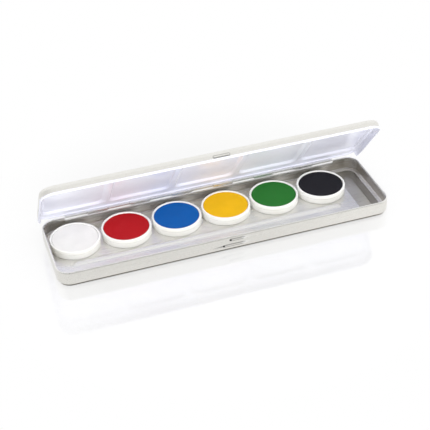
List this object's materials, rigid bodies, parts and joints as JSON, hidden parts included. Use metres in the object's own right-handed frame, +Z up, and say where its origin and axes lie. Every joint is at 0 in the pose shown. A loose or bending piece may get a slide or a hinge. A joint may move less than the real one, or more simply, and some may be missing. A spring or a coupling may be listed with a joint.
{
  "type": "watercolor pan set",
  "caption": "Flat hinged tin with a row of round watercolour pans, a brush channel and a white palette in its lid.",
  "frame": {"origin": "middle of the underside of the tin, on the plane that the tin stands on", "axes": "+X along the length of the tin, +Y towards the hinge, +Z up"},
  "size_m": [0.207, 0.0577, 0.0543],
  "materials": {
    "tinplate": "satin rolled tinplate",
    "steel_wire": "drawn wire",
    "palette_white": "glossy white",
    "pan_plastic": "satin white",
    "paint_white": "dried watercolour cake, satin",
    "paint_red": "dried watercolour cake, satin",
    "paint_blue": "dried watercolour cake, satin",
    "paint_yellow": "dried watercolour cake, satin",
    "paint_green": "dried watercolour cake, satin",
    "paint_black": "dried watercolour cake, satin"
  },
  "bodies": {
    "tin": {"base_tray": "tinplate", "pan_plate": "tinplate", "hinge_wire": "steel_wire"},
    "lid": {"lid_shell": "tinplate", "palette_liner": "palette_white"},
    "white_pan": {"pan_white": "pan_plastic", "paint_white": "paint_white"},
    "red_pan": {"pan_red": "pan_plastic", "paint_red": "paint_red"},
    "blue_pan": {"pan_blue": "pan_plastic", "paint_blue": "paint_blue"},
    "yellow_pan": {"pan_yellow": "pan_plastic", "paint_yellow": "paint_yellow"},
    "green_pan": {"pan_green": "pan_plastic", "paint_green": "paint_green"},
    "black_pan": {"pan_black": "pan_plastic", "paint_black": "paint_black"}
  },
  "joints": [
    {"name": "lid_hinge", "type": "hinge", "parent": "tin", "child": "lid", "pos_m": [0, 0.0278, 0.0092], "axis": [-1, 0, 0], "range_deg": [-51, 129]},
    {"name": "white_pan_lift", "type": "slide", "parent": "tin", "child": "white_pan", "axis": [0, -0.6293, 0.7771], "range_m": [0, 0.03]},
    {"name": "red_pan_lift", "type": "slide", "parent": "tin", "child": "red_pan", "axis": [0, -0.6293, 0.7771], "range_m": [0, 0.03]},
    {"name": "blue_pan_lift", "type": "slide", "parent": "tin", "child": "blue_pan", "axis": [0, -0.6293, 0.7771], "range_m": [0, 0.03]},
    {"name": "yellow_pan_lift", "type": "slide", "parent": "tin", "child": "yellow_pan", "axis": [0, -0.6293, 0.7771], "range_m": [0, 0.03]},
    {"name": "green_pan_lift", "type": "slide", "parent": "tin", "child": "green_pan", "axis": [0, -0.6293, 0.7771], "range_m": [0, 0.03]},
    {"name": "black_pan_lift", "type": "slide", "parent": "tin", "child": "black_pan", "axis": [0, -0.6293, 0.7771], "range_m": [0, 0.03]}
  ]
}
